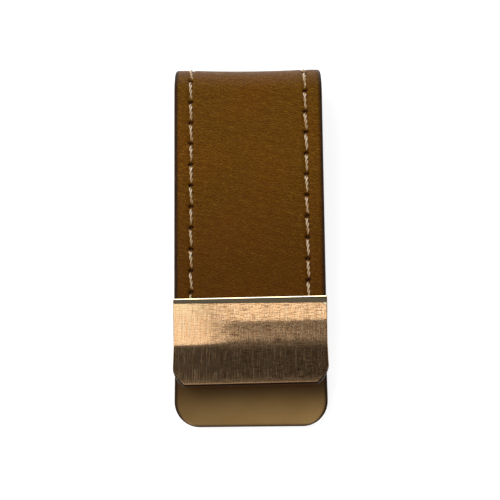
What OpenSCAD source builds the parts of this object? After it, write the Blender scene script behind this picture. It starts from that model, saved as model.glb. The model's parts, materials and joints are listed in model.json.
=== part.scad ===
// Leather money clip: a sprung metal strip bent into a U, a stitched leather strap
// glued over its outside, and a metal bar riveted over the strip's nose.
// It lies on its back. +Y points to the bend, -Y to the open end, +X along its width.

/* [Clip] */
// Overall length, from the open end of the leaf to the outside of the bend
clip_l = 61; // [58:1:66]
// Overall height, over the bend
clip_h = 10.8; // [10.6:0.2:12.6]
// Width of the metal strip and of the nose bar
metal_w = 25.2; // [22:0.2:30]

/* [Spring strip] */
// Thickness of the metal strip
spring_t = 0.8; // [0.6:0.1:1]
// Corner radius at the open end of the leaf
leaf_corner_r = 4.2; // [2:0.2:6]
// Distance from the open end of the leaf to the ridge that presses on the notes
ridge_from_end = 13.1; // [12:0.1:15]
// Gap between the ridge and the leaf when the clip is empty
ridge_gap = 0.25; // [0.2:0.05:0.6]
// Outside radius of the strip at the ridge
ridge_r = 4; // [3:0.5:5]
// Angle at which the nose flares up from the leaf
flare_angle = 20; // [16:1:24]

/* [Nose bar] */
// Length of the bar, measured along the leaf
bar_l = 14.3; // [13.4:0.1:16]
// Distance from the open end of the leaf to the lip of the bar
lip_from_end = 6.4; // [5.6:0.2:7.2]
// Thickness of the bar over the ridge
bar_t = 1.55; // [1.3:0.05:1.9]
// Height of the bar's upper edge over the leather
bar_step = 0.65; // [0.5:0.05:0.9]
// Slope of the outer face between the ridge and the lip
lip_angle = 15; // [12:1:16]
// Width and length of the corners taken off the lip
lip_corner = [1.7, 2.4];
// Diameter of the two studs that are riveted through the strip
stud_d = 2; // [1.5:0.1:2.5]

/* [Leather] */
// How far the leather is narrower than the metal on each side
leather_inset = 0.1; // [0:0.05:0.4]
// Thickness of the outer leather
outer_t = 1.1; // [0.9:0.1:1.2]
// Thickness of the lining leather
lining_t = 0.8; // [0.7:0.1:0.9]
// Distance from the open end of the leaf to the tail of the leather
tail_from_end = 1.2; // [0.8:0.1:2]
// How far the leather runs in under the nose bar
tuck_l = 1.2; // [1:0.1:1.6]

/* [Stitching] */
// Diameter of the thread
thread_d = 0.55; // [0.4:0.05:0.6]
// Distance from the edge of the leather to a row of stitches
row_inset = 2.85; // [2:0.05:4]
// Nearest length of one stitch, which each stretch rounds to a whole number of stitches
stitch_l = 3.5; // [2.8:0.1:4.5]
// Angle at which each stitch leans out of its row
stitch_lean = 5; // [0:1:6]

/* [Hidden] */
$fn = 64;
cut = 1;
// Radii of the layers at the bend, from the outside in
outer_r = clip_h / 2;
lining_r = outer_r - outer_t;
spring_r = lining_r - lining_t;
inside_r = spring_r - spring_t;
// The bend's centre, and the upper face of the leaf
bend_y = clip_l / 2 - outer_r;
bend_z = outer_r;
leaf_z = bend_z - inside_r;
open_y = -clip_l / 2;
// The ridge's centre, and the slope of the front arm down from the bend to the ridge
ridge_y = open_y + ridge_from_end;
ridge_z = leaf_z + ridge_gap + ridge_r;
ridge_dy = bend_y - ridge_y;
ridge_dz = ridge_z - bend_z;
reach = sqrt(ridge_dy * ridge_dy + ridge_dz * ridge_dz);
arm_angle = asin((inside_r + ridge_r) / reach) - atan2(ridge_dz, ridge_dy);
arm_l = sqrt(reach * reach - (inside_r + ridge_r) * (inside_r + ridge_r));
kink = arm_angle + flare_angle;
// The nose bar
lip_y = open_y + lip_from_end;
bar_top_y = lip_y + bar_l;
bar_top_z = face_z(bar_top_y, outer_r) + bar_step;
bar_ridge_z = ridge_z - ridge_r + spring_t + bar_t;
bar_lip_z = bar_ridge_z + (ridge_y - lip_y) * tan(lip_angle);
shoulder_r = 0.55;
lip_r = 0.45;
corner_r = 0.8;
stud_x = metal_w * 0.3;
stud_s = arm_l - 3.6;
cut_w = metal_w + 2 * cut;
nose_cover = 0.5;
ridge_steps = 16;
flare_l = (ridge_y - ridge_r * sin(flare_angle) - lip_y - nose_cover) / cos(flare_angle);
// The leather and its stitches
leather_w = metal_w - 2 * leather_inset;
front_leather_l = arm_s(bar_top_y, outer_r) + tuck_l;
back_leather_l = bend_y - open_y - tail_from_end;
tail_corner_r = max(0.5, leaf_corner_r - tail_from_end / 2);
row_x = leather_w / 2 - row_inset;
groove_w = thread_d + 0.3;
groove_d = thread_d + 0.05;
hole_d = thread_d + 0.15;
crown = 0.05;
dip = 0.08;
front_row_l = arm_s(bar_top_y, outer_r) - 0.4;
back_row_l = back_leather_l - 3;
bend_sweep = 180 + arm_angle;
bend_row_l = outer_r * bend_sweep * PI / 180;
front_stitches = round(front_row_l / stitch_l);
back_stitches = round(back_row_l / stitch_l);
bend_stitches = round(bend_row_l / stitch_l);

// Height, at y, of the face of the front arm that has radius r at the bend
function face_z(y, r) = bend_z + r / cos(arm_angle) - (bend_y - y) * tan(arm_angle);

// Distance along the front arm, from the bend, of the point of that face at y
function arm_s(y, r) = (bend_y - r * sin(arm_angle) - y) / cos(arm_angle);

// Places: both arms run from their end of the bend along -Y, with their outside at +Z
module on_front()
    translate([0, bend_y, bend_z])
        rotate([arm_angle, 0, 0])
            children();

module on_back()
    translate([0, bend_y, bend_z])
        mirror([0, 0, 1])
            children();

// The bend's own frame, with its axis along X and angle 0 at the end of the back arm
module on_bend()
    translate([0, bend_y, bend_z])
        rotate([0, 90, 0])
            children();

// A side view drawn in Y and Z, made w wide
module side_slab(w)
    rotate([90, 0, 90])
        linear_extrude(height = w, center = true)
            children();

// A flat layer of an arm between two radii and two distances from the bend
module layer(r_in, r_out, s_from, s_to, w)
    translate([-w / 2, -s_to, r_in])
        cube([w, s_to - s_from, r_out - r_in]);

// A layer of the bend between two radii
module ring_layer(r_in, r_out, w, sweep = bend_sweep)
    rotate_extrude(angle = sweep, $fn = 128)
        translate([r_in, -w / 2])
            square([r_out - r_in, w]);

// What is taken off a corner to round it: both directions are unit vectors along its edges
module corner_cut(corner, dir_a, dir_b, r) {
    half = acos(dir_a * dir_b) / 2;
    mid = (dir_a + dir_b) / norm(dir_a + dir_b);
    centre = corner + mid * r / sin(half);
    difference() {
        polygon([
            corner - mid * r,
            corner + dir_a * r / tan(half),
            centre,
            corner + dir_b * r / tan(half)
        ]);
        translate(centre) circle(r, $fn = 48);
    }
}

// Plan of the back end of a layer, with its two corners rounded
module tail_plan(w, y_end, r)
    difference() {
        translate([-w / 2, y_end]) square([w, bend_y - y_end]);
        for (side = [-1, 1])
            corner_cut([side * w / 2, y_end], [-side, 0], [0, 1], r);
    }

// Spring strip -------------------------------------------------------------------------

module spring_back_leaf()
    color("#b8945c")
        translate([0, 0, leaf_z - spring_t])
            linear_extrude(height = spring_t)
                tail_plan(metal_w, open_y, leaf_corner_r);

module spring_bend()
    color("#b8945c")
        on_bend()
            ring_layer(inside_r, spring_r, metal_w);

module spring_front_arm()
    color("#b8945c")
        difference() {
            intersection() {
                side_slab(metal_w) front_arm_profile();
                linear_extrude(height = clip_h) arm_plan();
            }
            studs(cut);
        }

// Side view of the front arm: straight from the bend, round at the ridge, then the flare
module front_arm_profile() {
    under = ridge_arc(ridge_r);
    over = ridge_arc(ridge_r - spring_t);
    back_to_front = [for (i = [len(over) - 1 : -1 : 0]) over[i]];
    run = flare_l * [-cos(flare_angle), sin(flare_angle)];
    polygon(concat(
        [arm_start(spring_r), arm_start(inside_r)],
        under,
        [under[len(under) - 1] + run, over[len(over) - 1] + run],
        back_to_front
    ));
}

// Points around the ridge at radius r, from the arm to the flare
function ridge_arc(r) = [
    for (i = [0 : ridge_steps])
        let (a = 270 + arm_angle - i * kink / ridge_steps)
            [ridge_y + r * cos(a), ridge_z + r * sin(a)]
];

// Where the front arm's face of radius r leaves the bend
function arm_start(r) = [bend_y - r * sin(arm_angle), bend_z + r * cos(arm_angle)];

// Plan of the front arm, which stops short of the bar's lip all round its corners
module arm_plan() {
    nose_plan(lip_y + nose_cover);
    translate([-metal_w / 2, bar_top_y - cut]) square([metal_w, bend_y - bar_top_y + cut]);
}

// Nose bar -----------------------------------------------------------------------------

module nose_bar()
    color("#c98f68")
        union() {
            difference() {
                intersection() {
                    side_slab(metal_w) bar_profile();
                    linear_extrude(height = clip_h) bar_plan();
                }
                side_slab(cut_w) front_arm_profile();
                on_front() layer(spring_r, outer_r, 0, front_leather_l, cut_w);
            }
            studs(0);
        }

// Side view of the bar, down to the middle of the strip's thickness
module bar_profile() {
    mid_r = (inside_r + spring_r) / 2;
    mid_ridge = (ridge_r - spring_t / 2) / cos(kink / 2);
    ridge_lean = (flare_angle - arm_angle) / 2;
    valley = [ridge_y - mid_ridge * sin(ridge_lean), ridge_z - mid_ridge * cos(ridge_lean)];
    lip_under = valley + (valley[0] - lip_y) / cos(flare_angle) * [-cos(flare_angle), sin(flare_angle)];
    top = [bar_top_y, bar_top_z];
    ridge = [ridge_y, bar_ridge_z];
    lip = [lip_y, bar_lip_z];
    difference() {
        polygon([top, ridge, lip, lip_under, valley, [bar_top_y, face_z(bar_top_y, mid_r)]]);
        corner_cut(top, (ridge - top) / norm(ridge - top), [0, -1], shoulder_r);
        corner_cut(lip, (ridge - lip) / norm(ridge - lip), [0, -1], lip_r);
    }
}

// Plan of the nose, with the corners of its lip taken off
module nose_plan(y_end)
    polygon([
        [-metal_w / 2, bar_top_y],
        [-metal_w / 2, y_end + lip_corner[1]],
        [-metal_w / 2 + lip_corner[0], y_end],
        [metal_w / 2 - lip_corner[0], y_end],
        [metal_w / 2, y_end + lip_corner[1]],
        [metal_w / 2, bar_top_y]
    ]);

// Plan of the bar, with those corners eased
module bar_plan() {
    slant = lip_corner / norm(lip_corner);
    difference() {
        nose_plan(lip_y);
        for (side = [-1, 1]) {
            inward = [-side * slant[0], -slant[1]];
            corner_cut([side * metal_w / 2, lip_y + lip_corner[1]], [0, 1], inward, corner_r);
            corner_cut([side * (metal_w / 2 - lip_corner[0]), lip_y], [-side, 0], -inward, corner_r);
        }
    }
}

// Two studs, square to the strip, that reach its inner face
module studs(extra)
    on_front()
        for (side = [-1, 1])
            translate([side * stud_x, -stud_s, inside_r - extra])
                cylinder(h = spring_t + 2 * extra, d = stud_d);

// Leather strap ------------------------------------------------------------------------

module outer_leather_back()
    color("#6f4620")
        difference() {
            linear_extrude(height = outer_t) tail_plan(leather_w, back_end_y(), tail_corner_r);
            on_back() arm_grooves(outer_r - groove_d, outer_r + cut, back_row_l);
            on_back() arm_holes(back_row_l, back_stitches);
        }

module outer_leather_bend()
    color("#6f4620")
        difference() {
            on_bend() ring_layer(lining_r, outer_r, leather_w);
            bend_grooves(outer_r - groove_d, outer_r + cut);
            bend_holes();
        }

module outer_leather_front()
    color("#6f4620")
        difference() {
            on_front() layer(lining_r, outer_r, 0, front_leather_l, leather_w);
            on_front() arm_grooves(outer_r - groove_d, outer_r + cut, front_row_l);
            on_front() arm_holes(front_row_l, front_stitches);
        }

module lining_back()
    color("#8a6238")
        difference() {
            translate([0, 0, outer_t])
                linear_extrude(height = lining_t)
                    tail_plan(leather_w, back_end_y(), tail_corner_r);
            on_back() arm_grooves(spring_r - cut, spring_r + groove_d, back_row_l);
            on_back() arm_holes(back_row_l, back_stitches);
        }

module lining_bend()
    color("#8a6238")
        difference() {
            on_bend() ring_layer(spring_r, lining_r, leather_w);
            bend_grooves(spring_r - cut, spring_r + groove_d);
            bend_holes();
        }

module lining_front()
    color("#8a6238")
        difference() {
            on_front() layer(spring_r, lining_r, 0, front_leather_l, leather_w);
            on_front() arm_grooves(spring_r - cut, spring_r + groove_d, front_row_l);
            on_front() arm_holes(front_row_l, front_stitches);
        }

function back_end_y() = open_y + tail_from_end;

// The channels that a row of stitches lies in, and the holes that it passes through
module arm_grooves(r_in, r_out, row_l)
    for (side = [-1, 1])
        translate([side * row_x, 0, 0])
            layer(r_in, r_out, -cut, row_l + hole_d / 2, groove_w);

module arm_holes(row_l, stitches)
    for (side = [-1, 1], i = [0 : stitches])
        translate([side * row_x, -i * row_l / stitches, spring_r - cut])
            cylinder(h = outer_r - spring_r + 2 * cut, d = hole_d);

module bend_grooves(r_in, r_out)
    for (side = [-1, 1])
        translate([side * row_x, 0, 0])
            on_bend() ring_layer(r_in, r_out, groove_w);

module bend_holes()
    for (side = [-1, 1], i = [0 : bend_stitches])
        translate([side * row_x, 0, 0])
            on_bend()
                rotate([0, 0, i * bend_sweep / bend_stitches])
                    translate([spring_r - cut, 0, 0])
                        rotate([0, 90, 0])
                            cylinder(h = outer_r - spring_r + 2 * cut, d = hole_d);

// Stitching ----------------------------------------------------------------------------

module thread_left_back() arm_thread(-1, 0);
module thread_left_bend() bend_thread(-1);
module thread_left_front() arm_thread(-1, 1);
module thread_right_back() arm_thread(1, 0);
module thread_right_bend() bend_thread(1);
module thread_right_front() arm_thread(1, 1);

// One row on one arm: leaning stitches outside and inside, tied at each hole past the bend
module arm_thread(side, front)
    color("#e6d9b8")
        if (front == 1)
            on_front() arm_row(side, front_row_l, front_stitches);
        else
            on_back() arm_row(side, back_row_l, back_stitches);

module arm_row(side, row_l, stitches) {
    pitch = row_l / stitches;
    translate([side * row_x, 0, 0]) {
        for (i = [0 : stitches - 1], r = [crown_r(), under_r()])
            translate([0, -(i + 0.5) * pitch, r])
                rotate([90, 0, stitch_lean])
                    capsule(pitch - hole_d);
        for (i = [1 : stitches])
            translate([0, -i * pitch, under_r() + dip])
                cylinder(h = crown_r() - under_r() - 2 * dip, d = hole_d);
    }
}

// Radii of the middle of the thread on the outside and on the inside of the strap
function crown_r() = outer_r - crown - thread_d / 2;
function under_r() = spring_r + crown + thread_d / 2;

// A length of thread along Z with round ends
module capsule(l) {
    cylinder(h = l, d = thread_d, center = true);
    for (end = [-1, 1])
        translate([0, 0, end * l / 2])
            sphere(d = thread_d);
}

// One row over the bend: an outer and an inner run, tied at each hole between its ends
module bend_thread(side)
    color("#e6d9b8")
        translate([side * row_x, 0, 0])
            on_bend() {
                for (r = [crown_r(), under_r()])
                    rotate_extrude(angle = bend_sweep, $fn = 128)
                        translate([r, 0])
                            circle(d = thread_d, $fn = 24);
                for (i = [1 : bend_stitches - 1])
                    rotate([0, 0, i * bend_sweep / bend_stitches])
                        translate([under_r() + dip, 0, 0])
                            rotate([0, 90, 0])
                                cylinder(h = crown_r() - under_r() - 2 * dip, d = hole_d, $fn = 24);
            }

spring_back_leaf();
spring_bend();
spring_front_arm();
nose_bar();
outer_leather_back();
outer_leather_bend();
outer_leather_front();
lining_back();
lining_bend();
lining_front();
thread_left_back();
thread_left_bend();
thread_left_front();
thread_right_back();
thread_right_bend();
thread_right_front();
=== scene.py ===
"""Leather money clip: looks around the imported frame. Lengths are in metres, angles in radians."""
import json
import math
import random

import bpy
import numpy as np
from mathutils import Matrix, Vector


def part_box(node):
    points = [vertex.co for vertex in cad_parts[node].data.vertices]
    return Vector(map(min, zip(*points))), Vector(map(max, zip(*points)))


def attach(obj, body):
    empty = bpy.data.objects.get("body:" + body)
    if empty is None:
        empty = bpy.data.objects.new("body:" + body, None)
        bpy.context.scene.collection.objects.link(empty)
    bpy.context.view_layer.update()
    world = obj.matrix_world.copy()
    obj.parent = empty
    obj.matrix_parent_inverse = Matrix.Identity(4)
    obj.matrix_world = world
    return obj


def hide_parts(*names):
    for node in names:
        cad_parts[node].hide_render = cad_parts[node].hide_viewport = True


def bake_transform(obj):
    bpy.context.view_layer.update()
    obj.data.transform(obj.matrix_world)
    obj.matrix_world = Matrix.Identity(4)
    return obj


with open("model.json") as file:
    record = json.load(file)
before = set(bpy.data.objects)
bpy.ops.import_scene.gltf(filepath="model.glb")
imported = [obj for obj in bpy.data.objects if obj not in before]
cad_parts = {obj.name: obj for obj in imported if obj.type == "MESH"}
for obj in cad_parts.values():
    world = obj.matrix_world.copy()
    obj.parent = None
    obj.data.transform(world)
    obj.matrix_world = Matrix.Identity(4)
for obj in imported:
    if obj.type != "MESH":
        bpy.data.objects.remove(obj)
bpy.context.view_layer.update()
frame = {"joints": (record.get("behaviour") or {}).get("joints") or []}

MM = 0.001

# --- Sizes, from the frame -------------------------------------------------------------

leaf_lo, leaf_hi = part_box("spring_back_leaf")
leather_lo, leather_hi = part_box("outer_leather_back")
lining_lo, lining_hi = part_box("lining_back")
front_leather_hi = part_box("outer_leather_front")[1]
bar_lo, bar_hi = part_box("nose_bar")
bend_y, bend_z = frame["joints"][0]["pos_m"][1:]

open_y = leaf_lo.y                      # open end of the leaf
tail_y = leather_lo.y                   # end of the leather under the leaf
metal_half = leaf_hi.x
leather_half = leather_hi.x
outer_r = bend_z                        # radii of the layers at the bend
lining_r = bend_z - lining_lo.z
spring_r = bend_z - leaf_lo.z
inside_r = bend_z - leaf_hi.z
spring_t = spring_r - inside_r
glue_t = 0.01 * MM                      # keeps the layers' faces apart
arm_angle = math.asin((bend_y - front_leather_hi.y) / lining_r)
bend_sweep = math.pi + arm_angle
bend_l = outer_r * bend_sweep           # length of the outer face round the bend
bar_top_y = bar_hi.y
lip_y = bar_lo.y
tail_s = tail_y - bend_y                # the tail's distance along the strap

# The ridge, the flare and the bar's outer face, as the design has them
ridge_r = 4 * MM
ridge_gap = 0.25 * MM
flare_angle = math.radians(20)
lip_angle = math.radians(15)
ridge_y = open_y + 13.1 * MM
ridge_z = leaf_hi.z + ridge_gap + ridge_r
bar_t = 1.55 * MM                       # bar over the strip at the ridge
bar_ridge_z = ridge_z - ridge_r + spring_t + bar_t
arm_l = (bend_y - ridge_y - (inside_r + ridge_r) * math.sin(arm_angle)) / math.cos(arm_angle)
leaf_corner = 4.2 * MM
tail_corner = 3.6 * MM
lip_corner_x = 2.0 * MM                 # the lip's rounded corners
lip_corner_y = 2.8 * MM
corner_power = 1.4
nose_cover = 0.5 * MM                   # the lip reaches this far past the strip's end
hook = 0.35 * MM                        # and this far down over it
tuck_l = 1.2 * MM                       # leather under the bar
stud_x = 0.6 * metal_half
stud_s = bend_l + arm_l - 3.6 * MM      # a little before the ridge

# Small easings of the strip
spring_edge = 0.22 * MM
roll_off = 0.03 * MM                    # the strip's faces fall away a little near their edges
roll_off_l = 0.9 * MM
leaf_droop = 0.05 * MM                  # and the leaf's open end bends down a touch
leaf_droop_l = 7 * MM

# Small easings of the bar
askew = math.radians(0.8)               # it sits a little askew on the strip
bar_edge = 0.18 * MM
# The bar's sides get this much painted shade
bar_flank_shade = 0.15                   # how dark its sides are, from 0 to 1
top_round = 0.08 * MM
top_bevel = 0.2 * MM
bevel_fall = math.radians(31)
crest_in = 0.95 * MM                    # the crest lies this far in from the top edge
crest_drift = 0.2 * MM                  # and this much further in at the right end
shoulder_fall = math.radians(7)         # between the crest and the bevel
ease_from = -8 * MM                     # from here to the right the face eases off in two steps
ease_l = 7 * MM
knee_l = 3.8 * MM                       # how far up from the ridge the two steps meet
knee_slope = math.radians(8)
foot_slope = math.radians(12.5)
lip_curl = 0.18 * MM
lip_curl_l = 1.2 * MM
curl_power = 1.35
lip_round = 0.55 * MM
lip_squash = 1.2                        # the lip's rounding is this much deeper than it is long

# Stitching: distances along the strap from the start of the bend, positive to the front
row_x = leather_half - 2.85 * MM
stitch_l = 3.555 * MM
stretch = 1.2                           # stitches over the bend are longer
hole_phase = {-1: 1.43 * MM, 1: 3.19 * MM}
hole_depth = 0.5 * MM
hole_half_l = 0.44 * MM                 # half the length and the width of each slit
hole_half_w = 0.24 * MM
slit_lean = math.radians(-8)            # of the average slit, and how far the others differ
slit_sway = math.radians(16)
ply_r = 0.14 * MM
ply_offset = 0.13 * MM
twist_l = 1.9 * MM                      # one turn of the two plies

# How the stitches and the bend shape the outer leather, on the back and in front
groove_back = 0.28 * MM
groove_front = 0.12 * MM
groove_half_back = 0.42 * MM
groove_half_front = 0.52 * MM
swell = 0.03 * MM                       # leather pushed up beside each row, in front
swell_x = 0.85 * MM
swell_half = 0.4 * MM
bend_sag = 0.2 * MM
sag_s = 0.62 * bend_l                   # the middle and the half length of the sag
sag_half_l = 0.36 * bend_l

# How the thread lies over the leather
thread_deep = -0.8 * MM                 # in the middle of a hole
thread_low = -0.35 * MM                 # over a stitch, on the back
thread_high = -0.05 * MM                # and in front
thread_fall = 0.2 * MM                  # from a stitch's first end to its second
dive_l = 0.38 * MM
thread_lean = 0.14 * MM                 # how far each end of a stitch lies off its row, on average
lean_change = 0.07 * MM
row_waver = 0.06 * MM
fat_start = 1.07                        # thickness at a stitch's first end, against the average
fat_loss = 0.36
fat_change = 0.1


def arm_s(y, r):
    """Distance along the strap of the front arm's face of radius r at y."""
    return bend_l + (bend_y - r * math.sin(arm_angle) - y) / math.cos(arm_angle)


def face_z(y, r):
    """Height at y of the front arm's face of radius r."""
    return bend_z + r / math.cos(arm_angle) - (bend_y - y) * math.tan(arm_angle)


front_end_s = arm_s(bar_top_y, outer_r) + tuck_l
row_s_from = tail_s + 3.4 * MM
row_s_to = arm_s(bar_top_y, outer_r) - 0.35 * MM


def on_strap(x, s, r):
    """Points at distance s along the strap and radius r: back arm, bend and front arm by one rule."""
    x, s, r = np.broadcast_arrays(np.asarray(x, float), s, r)
    turn = np.clip(s / outer_r, 0, bend_sweep)
    past = np.maximum(s - bend_l, 0)
    before = np.minimum(s, 0)
    y = bend_y + r * np.sin(turn) + before - past * math.cos(arm_angle)
    z = bend_z - r * np.cos(turn) - past * math.sin(arm_angle)
    return np.stack([x, y, z], -1)


# --- Mesh helpers ----------------------------------------------------------------------

def new_piece(name, points, faces, flat, sharp, materials, face_material=None):
    """A mesh object with a flat map in mm, and smooth faces but for edges over so many degrees."""
    mesh = bpy.data.meshes.new(name)
    mesh.from_pydata(np.asarray(points).reshape(-1, 3).tolist(), [], faces)
    for material in materials:
        mesh.materials.append(material)
    if face_material is not None:
        mesh.polygons.foreach_set("material_index", np.asarray(face_material, np.int32))
    layer = mesh.attributes.new("flat", "FLOAT_VECTOR", "POINT")
    layer.data.foreach_set("vector", np.asarray(flat, np.float32).ravel())
    mesh.shade_smooth()
    mesh.set_sharp_from_angle(angle=math.radians(sharp))
    mesh.update()
    piece = bpy.data.objects.new(name, mesh)
    bpy.context.scene.collection.objects.link(piece)
    return piece


def skin(rings):
    """Quads between closed rings of points, with a cap on each end."""
    count, size = rings.shape[:2]
    i, j = np.meshgrid(np.arange(count - 1), np.arange(size), indexing="ij")
    k = (j + 1) % size
    quads = np.stack([i * size + j, i * size + k, (i + 1) * size + k, (i + 1) * size + j], -1)
    first = list(range(size - 1, -1, -1))
    last = [(count - 1) * size + n for n in range(size)]
    return quads.reshape(-1, 4).tolist() + [first, last]


def smooth(t):
    """0 below 0, 1 above 1 and an even curve between."""
    t = np.clip(t, 0, 1)
    return t * t * (3 - 2 * t)


def bell(distance, width):
    """1 at no distance, falling to about a third at the width."""
    return np.exp(-(distance / width) ** 2)


def rounding(distance, r):
    """How far a face drops at a distance from its end, to round the end's corner to radius r."""
    short = np.maximum(r - distance, 0)
    return r - np.sqrt(np.maximum(r ** 2 - short ** 2, 0))


def wander(s, seed, step):
    """A slow random line between -1 and 1, with a new value each step."""
    rng = random.Random(seed)
    knots = [rng.uniform(-1, 1) for _ in range(400)]
    start = 120
    at = np.asarray(s, float) / step + start
    before = np.floor(at).astype(int)
    a = np.take(knots, before, mode="wrap")
    b = np.take(knots, before + 1, mode="wrap")
    return a + (b - a) * smooth(at - before)


def follow_bend(piece):
    """Bakes the piece's placing into its points."""
    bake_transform(piece)


# --- Materials -------------------------------------------------------------------------

class Shade:
    """A node material with short calls for the nodes that it uses."""

    def __init__(self, name):
        self.material = bpy.data.materials.new(name)
        self.material.use_nodes = True
        self.tree = self.material.node_tree
        self.bsdf = next(n for n in self.tree.nodes if n.type == "BSDF_PRINCIPLED")

    def node(self, kind, **settings):
        made = self.tree.nodes.new(kind)
        for key, value in settings.items():
            setattr(made, key, value)
        return made

    def join(self, source, target):
        self.tree.links.new(source, target)

    def put(self, value, target):
        """A link if value is a socket, or else the socket's own value."""
        if isinstance(value, bpy.types.NodeSocket):
            self.join(value, target)
        else:
            target.default_value = value

    def set(self, **values):
        """Inputs of the surface shader, by name with _ for each space."""
        for key, value in values.items():
            self.put(value, self.bsdf.inputs[key.replace("_", " ")])

    def flat(self):
        """The piece's own flat map, in mm: across and along it, and a third value of its own."""
        return self.node("ShaderNodeAttribute", attribute_name="flat").outputs["Vector"]

    def axes(self, vector):
        split = self.node("ShaderNodeSeparateXYZ")
        self.join(vector, split.inputs[0])
        return [split.outputs[name] for name in "XYZ"]

    def mapped(self, vector, across, along, turn):
        """The vector in axes turned by some degrees, and then scaled along them."""
        made = self.node("ShaderNodeMapping", vector_type="TEXTURE")
        self.join(vector, made.inputs["Vector"])
        made.inputs["Scale"].default_value = (1 / across, 1 / along, 1)
        made.inputs["Rotation"].default_value = (0, 0, math.radians(turn))
        return made.outputs["Vector"]

    def noise(self, vector, scale, detail=4.0, rough=0.55, distort=0.0):
        made = self.node("ShaderNodeTexNoise")
        self.join(vector, made.inputs["Vector"])
        made.inputs["Scale"].default_value = scale
        made.inputs["Detail"].default_value = detail
        made.inputs["Roughness"].default_value = rough
        made.inputs["Distortion"].default_value = distort
        return made.outputs["Fac"]

    def streaks(self, vector, across, along, scale, turn=0.0, **settings):
        """Noise drawn out in the direction with the lower of the two scales."""
        return self.noise(self.mapped(vector, across, along, turn), scale, **settings)

    def waves(self, vector, scale, distort, fine):
        """Wavy lines across Y, a little over 0.3 apart at scale 1."""
        made = self.node("ShaderNodeTexWave", bands_direction="Y")
        self.join(vector, made.inputs["Vector"])
        made.inputs["Scale"].default_value = scale
        made.inputs["Distortion"].default_value = distort
        made.inputs["Detail Scale"].default_value = fine
        return made.outputs["Fac"]

    def cells(self, vector, scale):
        """Distance from the middle of the nearest of many scattered cells."""
        made = self.node("ShaderNodeTexVoronoi")
        self.join(vector, made.inputs["Vector"])
        made.inputs["Scale"].default_value = scale
        return made.outputs["Distance"]

    def math(self, operation, a, b=0.0):
        made = self.node("ShaderNodeMath", operation=operation)
        self.put(a, made.inputs[0])
        self.put(b, made.inputs[1])
        return made.outputs[0]

    def minus(self, a, b):
        return self.math("SUBTRACT", a, b)

    def times(self, a, b):
        return self.math("MULTIPLY", a, b)

    def total(self, first, *more):
        """The first value plus each (value, weight) pair."""
        for value, weight in more:
            first = self.math("ADD", first, self.times(value, weight))
        return first

    def span(self, value, low, high, out_low=0.0, out_high=1.0):
        """value taken from low..high to out_low..out_high, held at both ends."""
        made = self.node("ShaderNodeMapRange", interpolation_type="SMOOTHSTEP")
        self.join(value, made.inputs["Value"])
        limits = {"From Min": low, "From Max": high, "To Min": out_low, "To Max": out_high}
        for key, number in limits.items():
            made.inputs[key].default_value = number
        return made.outputs["Result"]

    def mix(self, share, a, b):
        """Colour a, turning into b as the share goes from 0 to 1."""
        made = self.node("ShaderNodeMix", data_type="RGBA")
        self.put(share, made.inputs["Factor"])
        self.put(a, made.inputs["A"])
        self.put(b, made.inputs["B"])
        return made.outputs["Result"]

    def bump(self, height, depth, strength=1.0):
        made = self.node("ShaderNodeBump")
        made.inputs["Strength"].default_value = strength
        made.inputs["Distance"].default_value = depth
        self.join(height, made.inputs["Height"])
        return made.outputs["Normal"]


def rgba(r, g, b):
    """An sRGB colour of 0 to 255 as linear RGBA."""
    def linear(c):
        c /= 255
        return c / 12.92 if c <= 0.04045 else ((c + 0.055) / 1.055) ** 2.4
    return (linear(r), linear(g), linear(b), 1.0)


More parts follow.
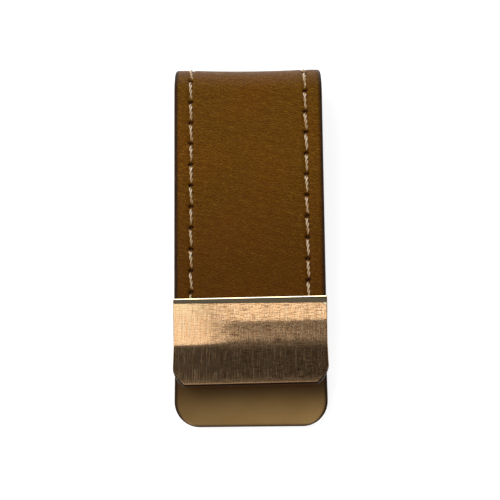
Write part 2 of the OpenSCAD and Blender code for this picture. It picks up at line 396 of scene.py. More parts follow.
def leather_material():
    """Tanned leather, finely grained, with painted light and shade on its relief, in its holes and near its
    sides.

    The photograph's shading towards the bar is painted into its tone."""
    # Beside the leather's own colours: a painted highlight for the grain's ridges, and painted shade for
    # its folds, pores, holes and sides
    tan, russet, shaded_tan = rgba(99, 62, 0), rgba(108, 61, 0), rgba(84, 44, 0)
    crest, fold_shade = rgba(138, 93, 22), rgba(70, 40, 0)
    grain_dark, pore_shade = rgba(84, 48, 0), rgba(54, 28, 0)
    side_edge_shade, hole_shade = rgba(34, 18, 6), rgba(40, 14, 3)
    slant = 15
    shade_from, shade_to = bend_l / MM + 6, front_end_s / MM
    rim = leather_half / MM
    side_edge_shade_l = 0.9

    m = Shade("leather_tan")
    flat = m.flat()
    across, along, hole = m.axes(flat)
    folds = m.waves(m.mapped(flat, 0.6, 1, slant), 1.05, 8.0, 2.6)
    ridges = m.span(folds, 0.5, 1.0)
    grain = m.streaks(flat, 0.7, 2.4, 1.2, slant, detail=3, rough=0.5, distort=0.3)
    pores = m.cells(m.mapped(flat, 0.8, 2.6, slant), 1.7)
    cloud = m.noise(flat, 0.09, detail=3, rough=0.5)
    near_bar = m.span(along, shade_from, shade_to, 0.0, 0.85)
    # Distance from the middle, a little ragged, for the painted shade near the sides
    creep = m.total(m.math("ABSOLUTE", across), (m.streaks(flat, 0.2, 1, 0.9), 0.2))

    tone = m.mix(m.span(cloud, 0.38, 0.62), tan, russet)
    tone = m.mix(near_bar, tone, shaded_tan)
    # Painted shade in the grain's folds, and on the next line a painted highlight on its ridges
    tone = m.mix(m.span(folds, 0.0, 0.4, 0.3, 0.0), tone, fold_shade)
    tone = m.mix(m.times(ridges, m.minus(0.9, m.times(near_bar, 0.6))), tone, crest)
    tone = m.mix(m.span(grain, 0.4, 0.65, 0.0, 0.25), tone, grain_dark)
    # Painted shade in the pores
    tone = m.mix(m.span(pores, 0.0, 0.35, 0.3, 0.0), tone, pore_shade)
    # Painted shade near each side, where the face rolls over into its edge
    tone = m.mix(m.span(creep, rim - side_edge_shade_l, rim + 0.05), tone, side_edge_shade)
    # Painted shade in the stitch holes
    tone = m.mix(m.span(hole, 0.15, 0.6), tone, hole_shade)
    height = m.total(m.times(grain, 0.5), (pores, 0.35), (ridges, 0.35))
    m.set(Base_Color=tone, Roughness=m.span(grain, 0.3, 0.7, 0.34, 0.46), Specular_IOR_Level=0.1)
    m.set(Sheen_Weight=0.06, Sheen_Tint=(0.8, 0.88, 1, 1), Sheen_Roughness=0.3)
    m.set(Normal=m.bump(height, 0.13 * MM))
    return m.material


def edge_paint_material():
    """Dark, slightly glossy paint on the cut edges of the leather, with runs along it and small pits."""
    paint, thin_paint, pit = rgba(38, 22, 11), rgba(62, 39, 21), rgba(26, 14, 7)

    m = Shade("edge_paint")
    flat = m.flat()
    runs = m.streaks(flat, 3.2, 0.3, 1.2)
    pits = m.streaks(flat, 1, 0.6, 2.2, detail=3)
    tone = m.mix(m.span(runs, 0.35, 0.65), paint, thin_paint)
    tone = m.mix(m.span(pits, 0.5, 0.7, 0.0, 0.5), tone, pit)
    m.set(Base_Color=tone, Roughness=m.span(runs, 0.3, 0.7, 0.4, 0.55), Specular_IOR_Level=0.12)
    m.set(Normal=m.bump(m.math("ADD", runs, pits), 0.05 * MM, 0.5))
    return m.material


def lining_material():
    """The plain flesh side of the lining leather."""
    m = Shade("leather_lining")
    nap = m.noise(m.flat(), 2.2, detail=6, rough=0.7)
    m.set(Base_Color=m.mix(m.span(nap, 0.3, 0.7), rgba(84, 54, 26), rgba(128, 90, 52)))
    m.set(Roughness=0.85, Normal=m.bump(nap, 0.05 * MM, 0.6))
    return m.material


def thread_material():
    """Waxed linen thread with fine fibres, painted highlight on top, painted shade between plies and in
    holes.
    """
    linen, pale_linen, shade = rgba(206, 172, 124), rgba(238, 214, 178), rgba(150, 112, 62)
    highlight, side_shade, hole_shade = rgba(255, 242, 222), rgba(150, 110, 62), rgba(96, 62, 26)

    m = Shade("thread_cream")
    flat = m.flat()
    height = m.axes(flat)[2]
    fibre = m.streaks(flat, 9, 1.5, 1.6, rough=0.7)
    patch = m.noise(flat, 0.35, detail=2)
    tone = m.mix(m.span(patch, 0.35, 0.65), linen, pale_linen)
    tone = m.mix(m.span(fibre, 0.3, 0.6, 0.35, 0.0), tone, shade)
    # Painted highlight on top of the thread, painted shade low on its sides and down in the holes
    tone = m.mix(m.span(height, -0.02, 0.12), tone, highlight)
    tone = m.mix(m.span(height, -0.12, 0.06, 0.6, 0.0), tone, side_shade)
    tone = m.mix(m.span(height, -0.34, -0.12, 0.85, 0.0), tone, hole_shade)
    m.set(Base_Color=tone, Roughness=0.4, Specular_IOR_Level=0.6, Normal=m.bump(fibre, 0.02 * MM, 0.6))
    return m.material


def leaf_material():
    """Smooth satin metal in a soft gold tone, with painted shade along its edges.

    The photograph's shading towards the bar and the left side is painted into its tone."""
    gold, pale_gold, hairline = rgba(192, 152, 92), rgba(202, 162, 102), rgba(160, 124, 74)
    shaded_gold, edge_shade = rgba(98, 70, 36), rgba(60, 42, 24)
    bright_s = (open_y - bend_y) / MM + 0.5
    shaded_s = (lip_y - bend_y) / MM + 0.5

    m = Shade("satin_gold")
    flat = m.flat()
    across, along, off_face = m.axes(flat)
    hair = m.streaks(flat, 0.5, 7.0, 1.2, 28, rough=0.6)
    cloud = m.noise(flat, 0.16, detail=2)
    edge = m.times(m.span(off_face, 0.01, 0.03), m.span(off_face, 0.16, 0.25, 1.0, 0.5))
    tone = m.mix(m.span(cloud, 0.3, 0.7), gold, pale_gold)
    tone = m.mix(m.span(hair, 0.5, 0.75, 0.0, 0.12), tone, hairline)
    tone = m.mix(m.span(along, bright_s, shaded_s, 0.0, 0.95), tone, shaded_gold)
    tone = m.mix(m.span(across, -13, 6, 0.35, 0.0), tone, shaded_gold)
    # Painted shade along the rounded edges
    tone = m.mix(edge, tone, edge_shade)
    m.set(Base_Color=tone, Metallic=m.span(off_face, 0.05, 0.2, 0.6, 0.95))
    m.set(Roughness=m.span(cloud, 0.3, 0.7, 0.2, 0.24), Normal=m.bump(hair, 0.0015 * MM, 0.5))
    return m.material


def bar_material():
    """Rose gold brushed along the clip with stray cross strokes, polished rim and edges, painted shade on
    sides and lip.
    """
    rose, pale_rose, bright_rose = rgba(226, 172, 122), rgba(255, 216, 166), rgba(255, 220, 166)
    stroke, mark = rgba(255, 236, 200), rgba(106, 66, 40)
    rim, flank, edge_shade = rgba(214, 196, 160), rgba(226, 178, 130), rgba(38, 20, 8)
    left = metal_half / MM

    m = Shade("brushed_rose_gold")
    flat = m.flat()
    across, down, off_face = m.axes(flat)
    fine = m.streaks(flat, 7.0, 0.3, 1.5, detail=5, rough=0.65)
    coarse = m.streaks(flat, 2.4, 0.11, 1.3, 1.5, rough=0.65)
    cross = m.streaks(flat, 0.45, 7.0, 1.3, -1, rough=0.6)
    scratch = m.streaks(flat, 7.5, 0.2, 1.3, 2, detail=3, rough=0.6)
    speck = m.noise(flat, 4.5, detail=3, rough=0.7)
    rub = m.streaks(flat, 1, 0.4, 0.9, detail=3)

    # The polished rim is wider to the right and at the right corner, and its lower side wavers
    into = m.total(down, (m.minus(rub, 0.5), 0.35), (m.math("ADD", across, left), -0.016))
    into = m.minus(into, m.span(across, 11.5, 12.7, 0.0, 0.6))
    # The flat map's third value here is how much painted shade the bar gets
    plain = m.span(off_face, 0.03, 0.12)
    brushed = m.times(m.span(into, 0.74, 0.84), m.minus(1.0, plain))
    edge = m.span(off_face, 0.0, 0.45)
    scratch = m.times(m.span(scratch, 0.48, 0.72), brushed)

    # The photograph's upper left is brighter and shows fewer marks, and that is painted in
    bright = m.times(m.span(across, -11.5, -4, 1.0, 0.0), m.span(down, 3.6, 1.4))
    marked = m.minus(1.0, m.times(m.span(across, -11, -3, 1.0, 0.0), 0.75))
    marks = m.math("MAXIMUM", m.span(cross, 0.36, 0.53, 0.9, 0.0), m.span(speck, 0.32, 0.52, 0.9, 0.0))

    tone = m.mix(m.span(fine, 0.35, 0.65), rose, pale_rose)
    tone = m.mix(m.span(coarse, 0.53, 0.68, 0.0, 0.5), tone, stroke)
    tone = m.mix(m.times(bright, 0.8), tone, bright_rose)
    tone = m.mix(m.times(marks, marked), tone, mark)
    tone = m.mix(brushed, m.mix(plain, rim, flank), tone)
    # Painted shade on the sides and, darkest, on the rounding under the lip
    tone = m.mix(edge, tone, edge_shade)
    rough = m.times(m.span(fine, 0.3, 0.7, 0.04, 0.1), brushed)
    rough = m.total(rough, (edge, 0.3), (scratch, 0.26))
    strokes = m.total(fine, (coarse, 1.6), (cross, 1.2), (speck, 0.5), (scratch, 0.15))
    m.set(Base_Color=tone, Metallic=1.0, Roughness=m.math("ADD", rough, 0.1))
    m.set(Normal=m.bump(m.times(strokes, brushed), 0.013 * MM, 0.9))
    return m.material


def floor_material():
    """Pale grey that glows a little, more so away from the clip, until it is white."""
    m = Shade("studio_floor")
    place = m.node("ShaderNodeTexCoord").outputs["Object"]
    away = m.node("ShaderNodeVectorMath", operation="LENGTH")
    m.join(place, away.inputs[0])
    wash = m.noise(place, 3.0, detail=2)
    tone = m.mix(m.span(wash, 0.3, 0.7), (0.44, 0.44, 0.45, 1), (0.46, 0.46, 0.46, 1))
    glow = m.span(away.outputs["Value"], 0.06, 0.4, 0.815, 1.0)
    m.set(Base_Color=tone, Roughness=0.9, Specular_IOR_Level=0.1)
    m.set(Emission_Color=(1, 1, 1, 1), Emission_Strength=glow)
    return m.material


# --- Leather ---------------------------------------------------------------------------

def as_sewn(s):
    """Distance along the strap as it was sewn, before the bend stretched the leather."""
    return s + (1 - 1 / stretch) * (bend_l - np.clip(s, 0, bend_l))


def holes(side):
    """Distances along the strap of a row's stitch holes."""
    first = math.ceil((as_sewn(row_s_from) - hole_phase[side]) / stitch_l)
    last = math.floor((as_sewn(row_s_to) - hole_phase[side]) / stitch_l)
    sewn = hole_phase[side] + np.arange(first, last + 1) * stitch_l
    return sewn - (stretch - 1) * (bend_l - np.clip(sewn, as_sewn(0), bend_l))


def to_front(s):
    """0 on the back arm, 1 on the front arm."""
    return smooth(s / bend_l)


def pinch(x, s):
    """1 in the middle of each stitch hole and 0 away from it: short slits, each leaning its own way."""
    total = np.zeros(np.broadcast(x, s).shape)
    for side in (-1, 1):
        off = x - side * row_x
        for n, hole in enumerate(holes(side)):
            lean = slit_lean + slit_sway * math.sin(n * 2.3)
            along = s - hole
            slit = off * math.cos(lean) + along * math.sin(lean)
            narrow = -off * math.sin(lean) + along * math.cos(lean)
            total += bell(slit, hole_half_l) * bell(narrow, hole_half_w)
    return total


def leather_relief(x, s):
    """How far the outer face stands off its even radius: stitches pull it in, the bend sags."""
    front = to_front(s)
    sewn = smooth((s - row_s_from) / MM + 1)
    groove = groove_back + (groove_front - groove_back) * front
    groove_half = groove_half_back + (groove_half_front - groove_half_back) * front
    relief = -hole_depth * pinch(x, s)
    for side in (-1, 1):
        off = x - side * row_x
        relief = relief - sewn * groove * bell(off, groove_half)
        relief = relief + sewn * swell * front * bell(np.abs(off) - swell_x, swell_half)
    middle = np.clip(1 - (x / row_x) ** 2, 0, 1)
    return relief - bend_sag * middle * bell(s - sag_s, sag_half_l)


def no_relief(x, s):
    return np.zeros_like(s)


def layer_stations(step_s):
    """Distances along a leather layer, closer together at its rounded tail."""
    count = int((front_end_s - tail_s) / step_s)
    s = np.linspace(tail_s, front_end_s, count)
    lead_l = 0.75 * MM
    lead = tail_s + lead_l * np.linspace(0, 1, 6) ** 2
    return np.concatenate([lead, s[s > tail_s + lead_l + 0.1 * MM]])


def layer_columns(s, width, r_in, r_out, places, relief, edge):
    """Where each point of a layer's section goes along the strap, all the way round the section.

    A column is x and radius at each station, and the material of the faces beside it."""
    flat_width = width - edge
    top_r = r_out - rounding(s - tail_s, edge)
    outer, right = [], []
    for place in places:
        x = place / leather_half * flat_width
        outer.append((x, top_r + relief(x, s), 0))
    for a in np.linspace(math.pi / 2, 0, 6)[1:]:
        right.append((flat_width + edge * math.cos(a), top_r - edge + edge * math.sin(a), 1))
    under = [(share * width, np.full_like(s, r_in), 2) for share in np.linspace(1, -1, 7)[:-1]]
    under.append((-width, np.full_like(s, r_in), 1))        # the faces beside it are the left side's
    left = [(-x, r, kind) for x, r, kind in reversed(right)]
    return zip(*(outer + right + under + left))


def strap_layer(name, r_in, r_out, materials, places, relief, step_s, edge):
    """One leather layer from its tail to the bar, with rounded and painted edges.

    places are across its outer face. Down its sides the flat map's x goes on, as if unfolded."""
    s = layer_stations(step_s)
    width = leather_half - rounding(s - tail_s, tail_corner)
    x, r, kinds = layer_columns(s, width, r_in, r_out, places, relief, edge)
    x, r = np.stack(x, -1), np.stack(r, -1)
    along = np.broadcast_to(s[:, None], x.shape)
    rings = on_strap(x, along, r)
    # Where the stitch holes are, for their painted shade
    marks = pinch(x, along) * (r > (r_in + r_out) / 2)
    on_side = np.abs(x) > (width - 1.01 * edge)[:, None]
    down = np.where(on_side, r_out - r, 0)
    flat = np.stack([(x + np.sign(x) * down) / MM, along / MM, marks], -1)
    face_material = np.tile(kinds, len(s) - 1).tolist() + [1, 1]
    piece = new_piece(name, rings, skin(rings), flat, 50, materials, face_material)
    follow_bend(piece)
    return piece


def leather_places():
    """Places across the outer face, close together along the rows of stitches."""
    beside_row, least_gap = 1.2 * MM, 0.05 * MM
    places = set(np.linspace(-1, 1, 41) * (leather_half - 0.5 * MM))
    for side in (-1, 1):
        places |= set(side * row_x + np.linspace(-beside_row, beside_row, 31))
    kept = []
    for place in sorted(places):
        if not kept or place - kept[-1] > least_gap:
            kept.append(place)
    kept[0], kept[-1] = -leather_half, leather_half
    return kept


# --- Thread ----------------------------------------------------------------------------

def resting_height(s):
    """Height of the thread's middle over the even face of the leather, on the back and in front."""
    return thread_low + (thread_high - thread_low) * to_front(s)


def stitch_path(side, t):
    """Offset across the row, height over the leather and fatness of the thread at s = t.

    Each stitch comes up full and high at its end nearer the tail, then leans over, thins and
    sinks to its other end."""
    nearest = np.abs(t[:, None] - holes(side)[None, :]).min(1)
    number = (as_sewn(t) - hole_phase[side]) / stitch_l
    stitch = np.floor(number)
    part = number - stitch
    crown = resting_height(t) + thread_fall * (0.5 - part)
    height = thread_deep + (crown - thread_deep) * (1 - bell(nearest, dive_l))
    lean = thread_lean + lean_change * wander(stitch, 7 + side, 1.0)
    ends = smooth(np.minimum(part, 1 - part) / 0.07)
    across = lean * (2 * part - 1) * ends + row_waver * wander(t, 31 + side, 9 * MM)
    fat = fat_start - fat_loss * part + fat_change * wander(t, 71 + side, 1.3 * MM)
    return across, height, fat


def thread_row(name, side, material):
    """Two twisted plies that lie over each stitch and dive into each hole."""
    t = np.arange(holes(side)[0] - 0.3 * MM, row_s_to + 0.5 * MM, 0.06 * MM)
    across, height, fat = (value[:, None] for value in stitch_path(side, t))
    across = across + side * row_x
    twist = 2 * math.pi * t / twist_l + 0.9 * wander(t, 51 + side, 4 * MM)
    round_ply = np.linspace(0, 2 * math.pi, 11)[:-1]
    # The crease is painted shade along the line between the plies
    crease_r, crease = 0.2 * MM, 0.3        # the dark line between the plies
    ply_shift = 3.1                         # so that the plies' fibres differ
    points, faces, flat, along = [], [], [], []
    for ply in range(2):
        a = (twist + ply * math.pi)[:, None]
        x = across + fat * (ply_offset * np.cos(a) + ply_r * np.cos(round_ply))
        h = height + fat * (ply_offset * np.sin(a) + ply_r * np.sin(round_ply))
        s = np.broadcast_to(t[:, None], x.shape)
        rings = on_strap(x, s, outer_r + h)
        base = ply * x.size
        faces += [[v + base for v in face] for face in skin(rings)]
        points.append(rings.reshape(-1, 3))
        winding = np.broadcast_to(round_ply, x.shape) * ply_r / MM + ply * ply_shift
        inner = np.hypot(x - across, h - height) / fat
        shade = (height - resting_height(s)) / MM - crease * np.clip(1 - inner / crease_r, 0, 1)
        flat.append(np.stack([winding, s / MM, shade], -1).reshape(-1, 3))
        along.append(s.ravel())
    piece = new_piece(name, np.concatenate(points), faces, np.concatenate(flat), 80, [material])
    follow_bend(piece)
    return piece


# --- Spring strip ----------------------------------------------------------------------

def end_steps():
    """Distances from a rounded end of the strip: even turns round its edge, then round its corner."""
    at_edge = spring_edge * (1 - np.cos(np.linspace(0, math.pi / 2, 5)))
    start = math.acos(1 - spring_edge / leaf_corner)
    at_corner = leaf_corner * (1 - np.cos(np.linspace(start, math.pi / 2, 11)))
    return np.concatenate([at_edge, at_corner[1:]])


def spring_stations():
    """Rows of y, z, outward normal y and z, distance along the strap, and distance from each end."""
    mid_r = (inside_r + spring_r) / 2
    ridge_mid = ridge_r - spring_t / 2
    kink = arm_angle + flare_angle
    nose_l = (ridge_y - ridge_r * math.sin(flare_angle) - lip_y - nose_cover) / math.cos(flare_angle)
    front_l = arm_l + kink * ridge_r + nose_l
    leaf_l = bend_y - open_y
    steps = end_steps()
    rows = []
    for d in np.concatenate([steps, np.linspace(5 * MM, leaf_l, 46)]):
        droop = leaf_droop * max(0, 1 - d / leaf_droop_l) ** 2
        rows.append((open_y + d, bend_z - mid_r - droop, 0, -1, d - leaf_l, d, front_l))
    for a in np.linspace(0, bend_sweep, 49)[1:]:
        ny, nz = math.sin(a), -math.cos(a)
        rows.append((bend_y + mid_r * ny, bend_z + mid_r * nz, ny, nz, a * outer_r, leaf_l, front_l))
    ny, nz = -math.sin(arm_angle), math.cos(arm_angle)
    for t in np.linspace(0, arm_l, 40)[1:]:
        y, z = bend_y + mid_r * ny - t * nz, bend_z + mid_r * nz + t * ny
        rows.append((y, z, ny, nz, bend_l + t, leaf_l, front_l - t))
    for a in np.linspace(0, kink, 17)[1:]:
        ny, nz = -math.sin(arm_angle - a), math.cos(arm_angle - a)
        t = arm_l + a * ridge_r
        y, z = ridge_y - ridge_mid * ny, ridge_z - ridge_mid * nz
        rows.append((y, z, ny, nz, bend_l + t, leaf_l, front_l - t))
    foot_y, foot_z, ny, nz = rows[-1][:4]
    for d in [d for d in steps[::-1] if d < nose_l]:
        run = nose_l - d
        rows.append((foot_y - run * nz, foot_z + run * ny, ny, nz, bend_l + front_l - d, leaf_l, d))
    return rows


def spring_section(half, thick, end_roll):
    """The strip's cross section, as (across, outward): round edges, and faces that roll off near them."""
    edge = min(spring_edge, thick)
    quarter = np.linspace(0, math.pi / 2, 6)
    across = np.linspace(1, -1, 33)[1:-1] * (half - edge)
    roll = np.maximum(roll_off * smooth((np.abs(across) - half + roll_off_l) / roll_off_l), end_roll)
    upper = np.stack([across, thick - roll], -1)
    corner = np.array([half - edge, thick - roll_off - edge])
    right = corner + edge * np.stack([np.cos(quarter), np.sin(quarter)], -1)
    top = np.concatenate([right, upper, right[::-1] * (-1, 1)])
    return np.concatenate([top, top[::-1] * (1, -1)])


def spring_strip(material):
    """The whole sprung strip, with rounded edges all round its outline."""
    rings, flat, along = [], [], []
    for y, z, ny, nz, s, end_d, nose_d in spring_stations():
        half = metal_half - rounding(end_d, leaf_corner)
        if nose_d < lip_corner_y:
            rest = 1 - (1 - nose_d / lip_corner_y) ** corner_power
            half -= lip_corner_x * (1 - rest ** (1 / corner_power))
        thick = spring_t / 2 - rounding(min(end_d, nose_d), spring_edge)
        end_roll = roll_off * float(smooth(1 - min(end_d, nose_d) / roll_off_l))
        ring = spring_section(half, thick, end_roll)
        rings.append(np.stack([ring[:, 0], y + ny * ring[:, 1], z + nz * ring[:, 1]], -1))
        off_face = spring_t / 2 - np.abs(ring[:, 1])
        flat.append(np.stack([ring[:, 0], np.full(len(ring), s), off_face], -1) / MM)
        along.append(np.full(len(ring), s))
    rings = np.array(rings)
    piece = new_piece("spring_strip", rings, skin(rings), np.concatenate(flat), 35, [material])
    follow_bend(piece)
    return piece


# --- Nose bar --------------------------------------------------------------------------

def blend_max(a, b, soft):
    """The higher of two heights, with an eased crossing."""
    return (a + b) / 2 + np.sqrt(((a - b) / 2) ** 2 + soft ** 2)


def arm_foot_y(r):
    """Where the leather's end plane meets the face of radius r."""
    return bend_y - r * math.sin(arm_angle) - (front_end_s - bend_l) * math.cos(arm_angle)


def spring_top_z(y):
    """Height of the strip's outer face at y, on the arm, round the ridge or on the flare."""
    r = ridge_r - spring_t
    foot_y = ridge_y - r * math.sin(flare_angle)
    if y > ridge_y + r * math.sin(arm_angle):
        return face_z(y, spring_r)
    if y > foot_y:
        return ridge_z - math.sqrt(r ** 2 - (y - ridge_y) ** 2)
    return ridge_z - r * math.cos(flare_angle) + (foot_y - y) * math.tan(flare_angle)


def bar_face_z(x, y, ridge, crest):
    """Height of the bar's outer face: a hollow bent at the ridge, in two steps on the right."""
    ease = smooth((x - ease_from) / ease_l)
    straight = (bar_hi.z - bar_ridge_z) / (crest - ridge)
    slope = straight + (math.tan(foot_slope) - straight) * ease
    bow = ease * (math.tan(foot_slope) - math.tan(knee_slope)) / (2 * knee_l)
    knee = ridge + knee_l
    knee_z = bar_ridge_z + slope * knee_l - bow * knee_l ** 2
    upper = knee_z + (bar_hi.z - knee_z) * (y - knee) / (crest - knee)
    up = y - ridge
    hollow = blend_max(bar_ridge_z + slope * up - bow * up ** 2, upper, 0.04 * MM)
    lower = bar_ridge_z + math.tan(lip_angle) * (ridge - y)
    return blend_max(hollow, lower, (0.05 + 0.1 * ease) * MM)


def bar_places(top, bevel, crest, ridge, end):
    """Places down the bar's outer face, close together where it turns."""
    curl_from, round_from = end + lip_curl_l, end + lip_round
    return np.concatenate([
        top - top_round * (1 - np.sin(np.linspace(math.pi / 2, 0, 7))),
        np.linspace(top - top_round, bevel, 4)[1:],
        np.linspace(bevel, crest, 7)[1:],
        np.linspace(crest, ridge + 1 * MM, 26)[1:],
        np.linspace(ridge + 1 * MM, ridge - 1 * MM, 17)[1:],
        np.linspace(ridge - 1 * MM, curl_from, 10)[1:],
        np.linspace(curl_from, round_from, 8)[1:],
        end + lip_round * (1 - np.sin(np.linspace(0, math.pi / 2, 9)[1:])),
    ])


def bar_underside(top, end, end_z):
    """Back from the lip, under the strip's end and along the strip to the top edge, as (y, z)."""
    tip = end + nose_cover
    line = [(end, end_z - 0.04 * MM), (end, spring_top_z(end) - hook)]
    line += [(tip, spring_top_z(tip) - hook), (tip, spring_top_z(tip))]
    line += [(y, spring_top_z(y)) for y in np.linspace(tip, ridge_y + 3 * MM, 18)[1:]]
    line += [(arm_foot_y(r), face_z(arm_foot_y(r), r)) for r in (spring_r, outer_r)]
    return line + [(top, face_z(top, outer_r))]


def bar_outline(x):
    """The bar's side view at x: a closed loop of (y, z, painted shade) rows."""
    inset = min(1, max(0, abs(x) - (metal_half - lip_corner_x)) / lip_corner_x)
    at_corner = smooth(2 * inset)
    shift = x * math.tan(askew)
    top, ridge = bar_top_y + shift, ridge_y + shift
    end = lip_y + shift + lip_corner_y * (1 - (1 - inset ** corner_power) ** (1 / corner_power))
    crest = top - crest_in - crest_drift * x / metal_half
    bevel = top - top_round - top_bevel
    ys = bar_places(top, bevel, crest, ridge, end)
    height = bar_face_z(x, np.minimum(ys, crest), ridge, crest)
    height -= math.tan(shoulder_fall) * np.maximum(ys - crest, 0)
    height -= (math.tan(bevel_fall) - math.tan(shoulder_fall)) * np.maximum(ys - bevel, 0)
    height -= rounding(top - ys, top_round)
    height -= lip_curl * (1 - at_corner) * np.clip(1 - (ys - end) / lip_curl_l, 0, 1) ** curl_power
    height -= lip_squash * rounding(ys - end, lip_round)
    # Painted shade, most on the rounding under the lip and at its corners
    dark = np.clip(1 - (ys - end) / lip_round, 0, 1) * (1 + at_corner)
    under = np.array(bar_underside(top, end, height[-1]))
    dark = np.append(dark, np.full(len(under), bar_flank_shade))
    return np.column_stack([np.append(ys, under[:, 0]), np.append(height, under[:, 1]), dark])


def bar_stations():
    """Places across the bar, each with how far its side view shrinks to round the flank."""
    inner_x = metal_half - bar_edge
    corner_x = metal_half - lip_corner_x
    right = [(x, 0.0) for x in np.linspace(0, corner_x, 44)[:-1]]
    right += [(x, 0.0) for x in np.linspace(corner_x, inner_x, 18)]
    for a in np.linspace(0, math.pi / 2, 6)[1:]:
        right.append((inner_x + bar_edge * math.sin(a), bar_edge * (1 - math.cos(a))))
    return [(-x, shrink) for x, shrink in right[:0:-1]] + right


def nose_bar(material):
    """The bar as a run of side views, eased at both flanks and at the corners of its lip."""
    rings, flat = [], []
    for x, shrink in bar_stations():
        outline = bar_outline(x)
        line = outline[:, :2]
        step = np.roll(line, -1, 0) - np.roll(line, 1, 0)
        inward = np.stack([-step[:, 1], step[:, 0]], -1) / np.linalg.norm(step, axis=1)[:, None]
        line = line + inward * shrink
        across = np.full(len(line), x)
        rings.append(np.column_stack([across, line]))
        into = bar_top_y + x * math.tan(askew) - line[:, 0]
        flank = shrink / bar_edge
        # Painted shade: the lip's, and the sides' own
        dark = np.maximum(outline[:, 2] * (1 - flank), bar_flank_shade * flank)
        flat.append(np.column_stack([across / MM, into / MM, dark]))
    rings = np.array(rings)
    piece = new_piece("nose_bar_brushed", rings, skin(rings), np.concatenate(flat), 38, [material])
    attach(piece, "front")
    return piece


def studs(material):
    """The two riveted stud ends, a little proud of the strip's inner face."""
    profile = [(0.45, 0.09), (0.75, 0.05), (0.92, 0.0), (1.0, -0.08), (1.0, -0.4)]    # radius and height
    turns = np.linspace(0, 2 * math.pi, 33)[:-1]
    points, faces = [], []
    for number, side in enumerate((-1, 1)):
        rings = []
        for radius, proud in profile:
            x = side * stud_x + radius * MM * np.cos(turns)
            s = stud_s + radius * MM * np.sin(turns)
            rings.append(on_strap(x, s, inside_r - proud * MM))
        base = number * len(profile) * len(turns)
        faces += [[v + base for v in face] for face in skin(np.array(rings))]
        points += rings
    points = np.concatenate(points)
    piece = new_piece("nose_bar_studs", points, faces, points / MM, 40, [material])
    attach(piece, "front")
    return piece


# --- Build -----------------------------------------------------------------------------

leather = leather_material()
paint = edge_paint_material()
lining = lining_material()

strap = strap_layer(
    "outer_leather_strap", lining_r + glue_t, outer_r, [leather, paint, lining],
    leather_places(), leather_relief, step_s=0.13 * MM, edge=0.5 * MM,
)
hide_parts("outer_leather_back", "outer_leather_bend", "outer_leather_front")

backing = strap_layer(
    "lining_leather_strap", spring_r + glue_t, lining_r - glue_t, [lining, paint, lining],
    np.linspace(-leather_half, leather_half, 25), no_relief, step_s=0.5 * MM, edge=0.12 * MM,
)
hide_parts("lining_back", "lining_bend", "lining_front")

cream = thread_material()
for side, word in ((-1, "left"), (1, "right")):
    row = thread_row(f"thread_{word}_row", side, cream)
    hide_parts(f"thread_{word}_back", f"thread_{word}_bend", f"thread_{word}_front")

strip = spring_strip(leaf_material())
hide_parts("spring_back_leaf", "spring_bend", "spring_front_arm")

brushed = bar_material()
bar = nose_bar(brushed)
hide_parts("nose_bar")
studs(brushed)

# --- Studio ----------------------------------------------------------------------------

def studio_floor():
    """A pale floor just under the clip."""
    half = 1.2
    corners = [(-half, -half, 0), (half, -half, 0), (half, half, 0), (-half, half, 0)]
    mesh = bpy.data.meshes.new("floor")
    mesh.from_pydata(corners, [], [(0, 1, 2, 3)])
    mesh.materials.append(floor_material())
    floor = bpy.data.objects.new("floor", mesh)
    floor.location.z = -0.2 * MM
    bpy.context.scene.collection.objects.link(floor)


def softbox(name, toward, spread, radiance, distance=0.6):
    """A rectangular light in the direction toward, in degrees from overhead along X and along Y.

    spread is how wide and how long it looks from the clip, in degrees."""
    across, along = (math.tan(math.radians(angle)) for angle in toward)
    place = Vector((across, along, 1)).normalized() * distance
    data = bpy.data.lights.new(name, "AREA")
    data.shape = "RECTANGLE"
    data.size, data.size_y = (2 * distance * math.tan(math.radians(angle) / 2) for angle in spread)
    data.energy = radiance * math.pi * data.size * data.size_y
    lamp = bpy.data.objects.new(name, data)
    lamp.location = place
    lamp.rotation_mode = "QUATERNION"
    lamp.rotation_quaternion = (-place).to_track_quat("-Z", "Y")
    bpy.context.scene.collection.objects.link(lamp)
    return lamp


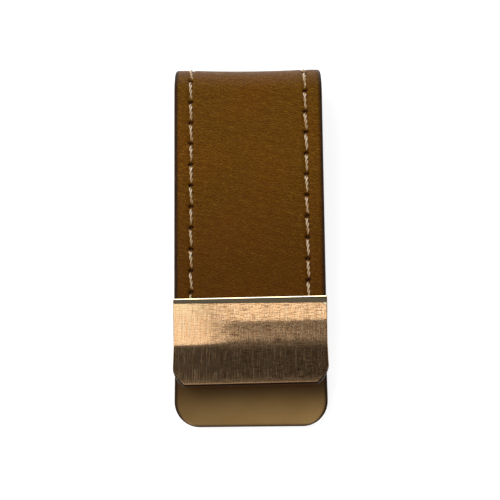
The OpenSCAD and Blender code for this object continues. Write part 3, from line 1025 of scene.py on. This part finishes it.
def studio_lights():
    """A key from the left, a broad box over the open end, a dim ceiling and low strips on three sides.

    Metal shows what it faces, so the world is dark, but where the camera sees past the floor it is pale."""
    world = bpy.data.worlds.new("studio")
    world.use_nodes = True
    nodes, links = world.node_tree.nodes, world.node_tree.links
    dim = nodes["Background"]
    dim.inputs["Color"].default_value = (0.042, 0.041, 0.040, 1)
    backdrop = nodes.new("ShaderNodeBackground")
    backdrop.inputs["Color"].default_value = (1, 1, 1, 1)
    seen = nodes.new("ShaderNodeLightPath")
    choice = nodes.new("ShaderNodeMixShader")
    links.new(seen.outputs["Is Camera Ray"], choice.inputs[0])
    links.new(dim.outputs[0], choice.inputs[1])
    links.new(backdrop.outputs[0], choice.inputs[2])
    links.new(choice.outputs[0], nodes["World Output"].inputs["Surface"])
    bpy.context.scene.world = world
    key = softbox("key_left", (-31, 17), (30, 30), 6.1)
    key.visible_glossy = False
    softbox("front_box", (-14, -35), (64, 38), 1.32)
    softbox("ceiling", (3, 4), (44, 36), 0.12)
    softbox("back_strip", (0, 70), (80, 12), 4.5)
    softbox("side_left", (-72, 0), (12, 60), 1.5)
    softbox("side_right", (72, 0), (12, 60), 1.5)


def studio_camera():
    """The viewpoint: over the clip, tipped towards the open end and turned a touch."""
    distance = 130 * MM
    tip, turn, roll = (math.radians(angle) for angle in (13.02, 0.12, 0.59))
    aim = Vector((0.06, -1.29, 4)) * MM
    to_view = Matrix.Rotation(roll, 3, "Z") @ Matrix.Rotation(-tip, 3, "X") @ Matrix.Rotation(turn, 3, "Y")
    to_world = to_view.transposed()
    data = bpy.data.cameras.new("camera")
    data.sensor_width = 36
    data.lens = 55.188
    data.clip_start, data.clip_end = 0.005, 10
    camera = bpy.data.objects.new("camera", data)
    camera.matrix_world = Matrix.Translation(aim + to_world @ Vector((0, 0, distance))) @ to_world.to_4x4()
    bpy.context.scene.collection.objects.link(camera)
    bpy.context.scene.camera = camera


studio_floor()
studio_lights()
studio_camera()
bpy.context.scene.view_settings.view_transform = "Standard"
